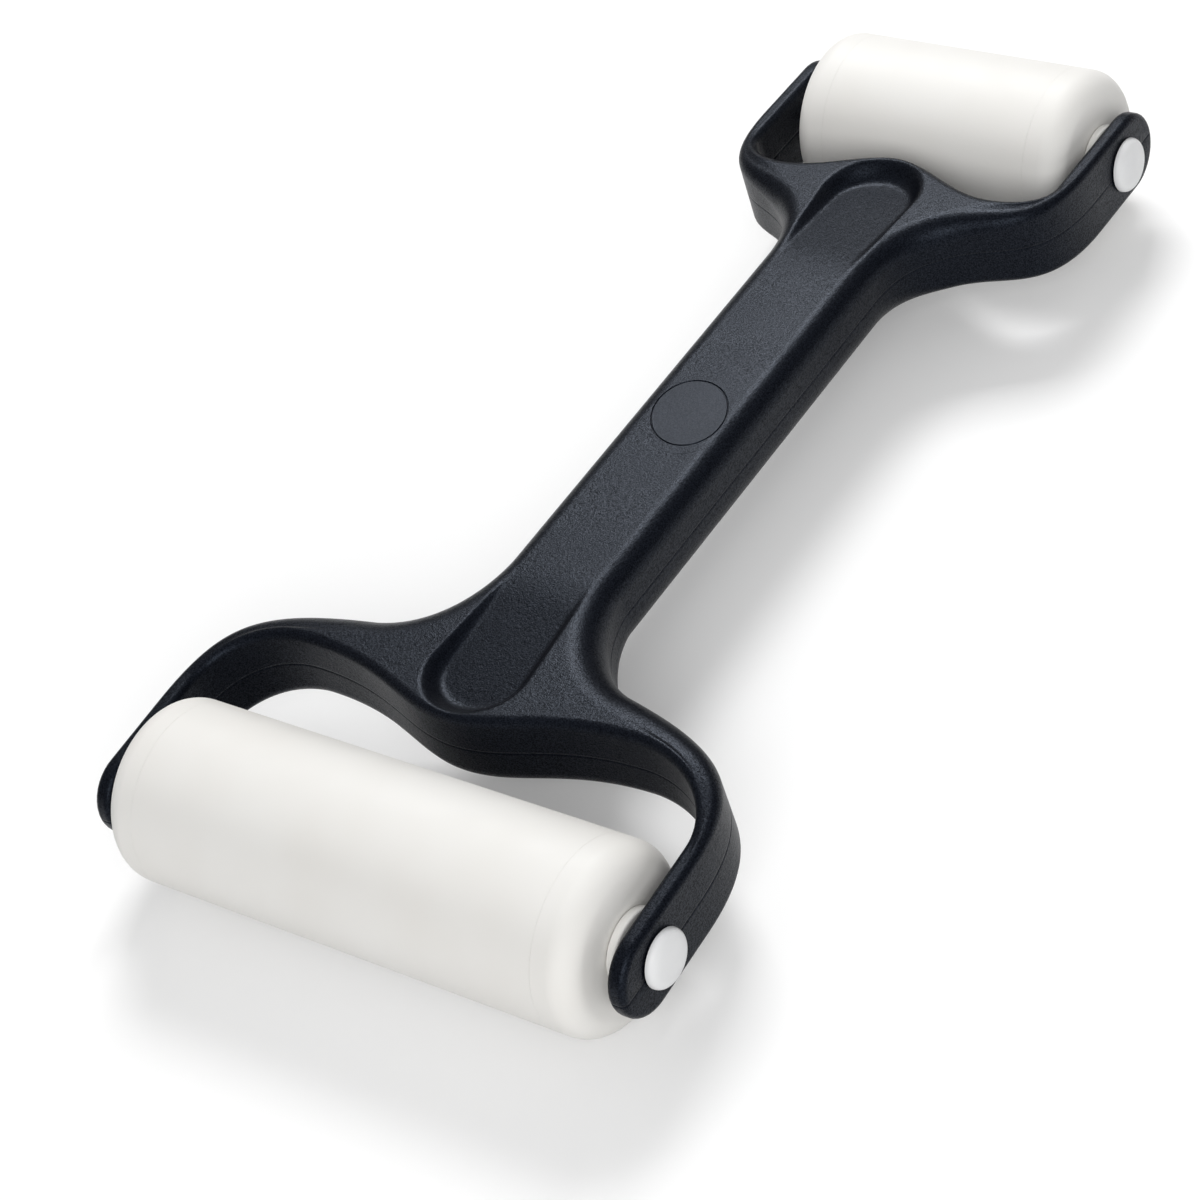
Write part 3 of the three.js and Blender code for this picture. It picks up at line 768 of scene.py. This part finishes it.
def oval_lid():
    """Rings that grow from the centre to the groove, then cross it and run on to the lid's margin.

    The groove is a parabola, depth (1 - (d / w)^2), over the distance d from the oval's outline.
    """
    groove = OVAL_GROOVE_HALF_WIDTH
    across_groove = np.linspace(-groove, groove, OVAL_GROOVE_RINGS)
    out = np.concatenate([across_groove, steps(groove, OVAL_MARGIN, OVAL_MARGIN_RINGS)])
    grown = np.linspace(0, 1, OVAL_FIELD_RINGS, endpoint=False)
    reach = np.vstack([grown[:, None] * (OVAL_HALF_AXES - groove), OVAL_HALF_AXES + out[:, None]])
    angle = np.linspace(0, 2 * np.pi, OVAL_SIDES, endpoint=False)
    across = reach[:, 0, None] * np.cos(angle)
    along = reach[:, 1, None] * np.sin(angle)
    x = OVAL_MIDDLE[0] + across * np.cos(OVAL_TURN) - along * np.sin(OVAL_TURN)
    y = OVAL_MIDDLE[1] + across * np.sin(OVAL_TURN) + along * np.cos(OVAL_TURN)
    distance = np.concatenate([np.full(len(grown), groove), out])
    press = OVAL_GROOVE_DEPTH * (1 - np.minimum(np.abs(distance) / groove, 1) ** 2)
    top = np.stack([x, y, top_surface(x, y) + OVAL_PROUD - press[:, None]], axis=-1)
    under = top[::-1] - [0, 0, OVAL_LID]
    grid = np.concatenate([top, under]) + [0, 0, ROLLER_RADIUS]
    cells = grid_quads(*grid.shape[:2], close_columns=True, close_rows=True)
    return outward(*weld(grid.reshape(-1, 3), cells.reshape(-1, 4)))


handle_oval = put_mesh("handle_oval", *oval_lid())
handle_oval.data.set_sharp_from_angle(angle=SHARP_ANGLE)

# %% [markdown]
# ## Who moves with what
# The frame, the oval, the buttons and the axles stay together, and each roller turns with its caps and
# bushes. Every fine piece hides the solid that it stands for.

# %% Ride and replace
for piece, node, body in white_pieces + button_pieces + [(frame_moulding, "frame", "frame")]:
    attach(piece, body)
    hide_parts(node)
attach(handle_oval, "frame")
print("pieces:", len(white_pieces) + len(button_pieces) + 2)

# %% [markdown]
# ## Finishes
# All finishes are procedural and read Object coordinates, so they stay on the pieces as these move. A
# picture of the surface would need a UV map on every piece and would show its seams. Noise has none, and
# four helpers are enough: a shader with its constants, a noise, a blend of two values and a bump.

# %% Node helpers


def new_finish(name, base, roughness, specular):
    """A material with a Principled shader, its constants on the shader's own sockets."""
    material = bpy.data.materials.new(name)
    material.use_nodes = True
    shader = material.node_tree.nodes["Principled BSDF"]
    shader.inputs["Base Color"].default_value = (*base, 1)
    shader.inputs["Roughness"].default_value = roughness
    shader.inputs["Specular IOR Level"].default_value = specular
    return material, shader


def noise(material, scale, detail=2.0, stretch=(1, 1, 1)):
    """Noise on Object coordinates; scale is in cells per metre. Returns its factor socket."""
    nodes, links = material.node_tree.nodes, material.node_tree.links
    place = nodes.new("ShaderNodeTexCoord")
    mapping = nodes.new("ShaderNodeMapping")
    mapping.inputs["Scale"].default_value = stretch
    links.new(place.outputs["Object"], mapping.inputs["Vector"])
    texture = nodes.new("ShaderNodeTexNoise")
    texture.inputs["Scale"].default_value = scale
    texture.inputs["Detail"].default_value = detail
    links.new(mapping.outputs["Vector"], texture.inputs["Vector"])
    return texture.outputs["Fac"]


def ramp(material, factor, low, high, socket, start=0.3, stop=0.7):
    """Blends two colours or two greys by a factor, into a socket."""
    node = material.node_tree.nodes.new("ShaderNodeValToRGB")
    for element, place, value in zip(node.color_ramp.elements, (start, stop), (low, high)):
        element.position = place
        element.color = (*value, 1) if np.ndim(value) else (value, value, value, 1)
    material.node_tree.links.new(factor, node.inputs["Fac"])
    material.node_tree.links.new(node.outputs["Color"], socket)


def bump(material, shader, factor, depth, under=None):
    """A bump of a given depth in metres, on top of another one if there is one."""
    node = material.node_tree.nodes.new("ShaderNodeBump")
    node.inputs["Distance"].default_value = depth
    material.node_tree.links.new(factor, node.inputs["Height"])
    if under is not None:
        material.node_tree.links.new(under.outputs["Normal"], node.inputs["Normal"])
    material.node_tree.links.new(node.outputs["Normal"], shader.inputs["Normal"])
    return node


# %% [markdown]
# ## The frame's plastic
# The mould was spark-eroded, which leaves a fine matt grain on the frame. To shape it in the mesh would take
# millions of faces, so the grain is two sizes of noise that drive a bump. The finer one also paints the
# colour lighter on the grain's tops and darker in its hollows, a painted sheen and a painted shade, and the
# sheen follows it too, because the tops of such a grain shine and its hollows stay dull. The oval is the same
# plastic, polished a little.

# %% Frame plastic
# Base colours of the frame: the darker is painted shade in the grain's hollows, the lighter painted sheen on
# its tops.
FRAME_HOLLOW_SHADED = (0.0010, 0.0014, 0.0028)
FRAME_TOP_LIT = (0.0030, 0.0038, 0.0070)
FRAME_SHEEN = (0.66, 0.78, 1.0)
FRAME_ROUGHNESS = (0.36, 0.39)
ROUGHNESS_DRIFT = 90
GRAIN_FINE = 3600
GRAIN_BROAD = 1250
GRAIN_BROAD_SHARE = 1.2


def frame_plastic(name, grain_depth, dull, bright):
    """Blue-black plastic with a grain of 0.3 mm on one of 0.8 mm. Bump and sheen follow it, and its colour is
    painted lighter on the grain's tops and darker in its hollows: painted sheen and painted shade.
    """
    material, shader = new_finish(name, FRAME_HOLLOW_SHADED, roughness=0.45, specular=0.15)
    shader.inputs["Specular Tint"].default_value = (*FRAME_SHEEN, 1)
    fine = noise(material, GRAIN_FINE)
    broad = noise(material, GRAIN_BROAD)
    # Base colour from the fine grain: painted sheen on its tops, painted shade in its hollows.
    ramp(material, fine, FRAME_HOLLOW_SHADED, FRAME_TOP_LIT, shader.inputs["Base Color"], start=0.35, stop=0.7)
    ramp(material, fine, dull, bright, shader.inputs["Specular IOR Level"], start=0.35, stop=0.65)
    ramp(material, noise(material, ROUGHNESS_DRIFT), *FRAME_ROUGHNESS, shader.inputs["Roughness"])
    under = bump(material, shader, broad, grain_depth * GRAIN_BROAD_SHARE)
    bump(material, shader, fine, grain_depth, under=under)
    return material


# %% Give the frame and the oval their plastic


def give(piece, *materials):
    """Makes these the only materials of a piece; its faces take the first one."""
    piece.data.materials.clear()
    for material in materials:
        piece.data.materials.append(material)


def outside_oval(polygons):
    """1 for each face whose middle lies outside the oval's groove, 0 for the others."""
    middles = np.empty(3 * len(polygons))
    polygons.foreach_get("center", middles)
    across, along = on_oval(*(middles.reshape(-1, 3)[:, :2] / MM).T)
    return (np.hypot(across / OVAL_HALF_AXES[0], along / OVAL_HALF_AXES[1]) > 1).astype(np.int32)


grained = frame_plastic("frame_grained", grain_depth=0.000045, dull=0.068, bright=0.27)
smoothed = frame_plastic("frame_smoothed", grain_depth=0.00002, dull=0.135, bright=0.2)
give(frame_moulding, grained)
give(handle_oval, smoothed, grained)
grained_faces = outside_oval(handle_oval.data.polygons)
handle_oval.data.polygons.foreach_set("material_index", grained_faces)
print("grained faces of the lid:", grained_faces.sum(), "of", len(grained_faces))

# %% [markdown]
# ## White plastics
# Rollers and buttons are white and nearly smooth. One flat colour would look like paper, so a slow noise
# drifts between two near whites, a quicker one changes the gloss, and a very fine skin softens the
# highlights. The buttons are a little cooler and glossier than the rollers.

# %% White plastics
ROLLER_WHITE = (0.80, 0.79, 0.765)
ROLLER_WARM = (0.775, 0.76, 0.73)
BUTTON_WHITE = (0.76, 0.765, 0.77)
BUTTON_GREY = (0.73, 0.735, 0.745)
SKIN_SCALE = 2600
GLOSS_CHANGE = 0.05
GLOSS_QUICKER = 5


def white_plastic(name, light, dark, roughness, grain, drift):
    """White plastic with a very fine skin and a slow drift between two near whites."""
    material, shader = new_finish(name, light, roughness, specular=0.4)
    gloss = noise(material, GLOSS_QUICKER * drift)
    smoothest, dullest = roughness - GLOSS_CHANGE, roughness + GLOSS_CHANGE
    ramp(material, noise(material, drift), dark, light, shader.inputs["Base Color"], start=0.35, stop=0.6)
    ramp(material, gloss, smoothest, dullest, shader.inputs["Roughness"])
    bump(material, shader, noise(material, SKIN_SCALE), grain)
    return material


roller_plastic = white_plastic(
    "roller_matte", ROLLER_WHITE, ROLLER_WARM, roughness=0.58, grain=0.000008, drift=35)
button_plastic = white_plastic(
    "button_satin", BUTTON_WHITE, BUTTON_GREY, roughness=0.38, grain=0.000003, drift=120)
for piece, _, _ in white_pieces:
    give(piece, roller_plastic)
for piece, _, _ in button_pieces:
    give(piece, button_plastic)
print("white pieces:", len(white_pieces), "buttons:", len(button_pieces))

# %% [markdown]
# ## Axle steel
# The axles are hidden inside the rollers, and show only when a piece is taken off. They are plain drawn
# rods, so their noise is stretched along X into streaks, and the solids themselves carry the material.

# %% Axle steel
STEEL_MIDDLE = (0.55, 0.56, 0.57)
STEEL_DARK = (0.48, 0.49, 0.5)
STEEL_LIGHT = (0.6, 0.61, 0.62)
STEEL_ROUGHNESS = (0.26, 0.38)
STREAK_SCALE = 900
STREAK_STRETCH = (0.03, 1, 1)
STREAK_DEPTH = 0.000004


def axle_steel():
    """Drawn steel: streaks along X in colour and gloss."""
    material, shader = new_finish("axle_drawn", STEEL_MIDDLE, roughness=0.3, specular=0.5)
    shader.inputs["Metallic"].default_value = 1.0
    streaks = noise(material, STREAK_SCALE, detail=3, stretch=STREAK_STRETCH)
    ramp(material, streaks, STEEL_DARK, STEEL_LIGHT, shader.inputs["Base Color"])
    ramp(material, streaks, *STEEL_ROUGHNESS, shader.inputs["Roughness"])
    bump(material, shader, streaks, STREAK_DEPTH)
    return material


steel = axle_steel()
for end in (WIDE, NARROW):
    give(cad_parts[end["name"] + "_axle"], steel)
print("materials:", len(bpy.data.materials))

# %% [markdown]
# ## Floor
# The tool lies on a plain pale floor that reaches to the horizon. A white material alone would come out grey
# far off, where no lamp reaches it. So the floor adds some light of its own where it is seen directly:
# little round the tool, where more would drown the shadow, and more further away.

# %% Floor material
FLOOR_GREY = 0.78
FLOOR_LIFT = 0.18
FLOOR_FAR_LIFT = 0.75
FLOOR_NEAR = 0.35
FLOOR_FAR = 1.2


def seen_directly(nodes, links):
    """1 for camera, glossy and transmission rays, 0 for light that bounces onto the tool."""
    path = nodes.new("ShaderNodeLightPath")
    total = path.outputs["Is Camera Ray"]
    for name in ("Is Glossy Ray", "Is Transmission Ray"):
        more = nodes.new("ShaderNodeMath")
        more.operation = "MAXIMUM"
        links.new(total, more.inputs[0])
        links.new(path.outputs[name], more.inputs[1])
        total = more.outputs[0]
    return total


def lift_by_distance(nodes, links):
    """The floor's own light: weak round the tool, stronger far off, where the softboxes don't reach."""
    place = nodes.new("ShaderNodeTexCoord")
    distance = nodes.new("ShaderNodeVectorMath")
    distance.operation = "LENGTH"
    links.new(place.outputs["Object"], distance.inputs[0])
    lift = nodes.new("ShaderNodeMapRange")
    lift.inputs["From Min"].default_value = FLOOR_NEAR
    lift.inputs["From Max"].default_value = FLOOR_FAR
    lift.inputs["To Min"].default_value = FLOOR_LIFT
    lift.inputs["To Max"].default_value = FLOOR_FAR_LIFT
    links.new(distance.outputs["Value"], lift.inputs["Value"])
    return lift.outputs["Result"]


def floor_material():
    """A pale diffuse floor plus a little of its own light where it is seen directly."""
    material = bpy.data.materials.new("floor_pale")
    material.use_nodes = True
    nodes, links = material.node_tree.nodes, material.node_tree.links
    nodes.clear()
    diffuse = nodes.new("ShaderNodeBsdfDiffuse")
    diffuse.inputs["Color"].default_value = (FLOOR_GREY, FLOOR_GREY, FLOOR_GREY, 1)
    lift = nodes.new("ShaderNodeEmission")
    strength = nodes.new("ShaderNodeMath")
    strength.operation = "MULTIPLY"
    links.new(seen_directly(nodes, links), strength.inputs[0])
    links.new(lift_by_distance(nodes, links), strength.inputs[1])
    links.new(strength.outputs[0], lift.inputs["Strength"])
    both = nodes.new("ShaderNodeAddShader")
    links.new(diffuse.outputs[0], both.inputs[0])
    links.new(lift.outputs[0], both.inputs[1])
    output = nodes.new("ShaderNodeOutputMaterial")
    links.new(both.outputs[0], output.inputs["Surface"])
    return material


# %% Floor
FLOOR_HALF = 40.0


def floor():
    """A square on the table plane, made of one face."""
    corners = np.array([[-1, -1, 0], [1, -1, 0], [1, 1, 0], [-1, 1, 0]]) * FLOOR_HALF
    mesh = bpy.data.meshes.new("floor")
    mesh.from_pydata(corners.tolist(), [], [(0, 1, 2, 3)])
    plane = bpy.data.objects.new("floor", mesh)
    bpy.context.scene.collection.objects.link(plane)
    mesh.materials.append(floor_material())


floor()
print("floor:", 2 * FLOOR_HALF, "m wide")

# %% [markdown]
# ## Light
# The light is a soft studio light. A softbox above and behind gives the flat tops their sheen and draws
# light bands along the rounded edges. A larger one fills in from the right front, and a sky that darkens to
# the horizon does the rest. An even sky would be simpler, but then the walls would be as light as the tops.
# The sum is near one, so colours come out about as they are written.

# %% Lights
SKY_LOW = 0.10
SKY_HIGH = 0.52
SKY_FULL_AT = 0.8
OVERHEAD = dict(place=(-0.36, 0.64, 0.815), width=0.46, depth=0.34, watts=8.0)
FRONT_FILL = dict(place=(0.62, -0.78, 0.60), width=0.8, depth=0.8, watts=7.4)


def softbox(name, place, width, depth, watts):
    """A rectangular area light that faces the origin, its width level."""
    data = bpy.data.lights.new(name, "AREA")
    data.shape = "RECTANGLE"
    data.size = width
    data.size_y = depth
    data.energy = watts
    lamp = bpy.data.objects.new(name, data)
    lamp.location = place
    lamp.rotation_euler = (-Vector(place)).to_track_quat("-Z", "Y").to_euler()
    bpy.context.scene.collection.objects.link(lamp)
    print(name, "watts:", watts)


def sky():
    """A white sky, weak at the horizon and stronger overhead: its strength follows the direction's z."""
    world = bpy.data.worlds.new("studio")
    world.use_nodes = True
    nodes, links = world.node_tree.nodes, world.node_tree.links
    background = nodes["Background"]
    background.inputs["Color"].default_value = (1, 1, 1, 1)
    direction = nodes.new("ShaderNodeTexCoord")
    split = nodes.new("ShaderNodeSeparateXYZ")
    links.new(direction.outputs["Generated"], split.inputs[0])
    rise = nodes.new("ShaderNodeMapRange")
    rise.inputs["From Max"].default_value = SKY_FULL_AT
    rise.inputs["To Min"].default_value = SKY_LOW
    rise.inputs["To Max"].default_value = SKY_HIGH
    links.new(split.outputs["Z"], rise.inputs["Value"])
    links.new(rise.outputs["Result"], background.inputs["Strength"])
    bpy.context.scene.world = world


sky()
softbox("overhead", **OVERHEAD)
softbox("front_fill", **FRONT_FILL)
bpy.context.scene.view_settings.view_transform = "Standard"
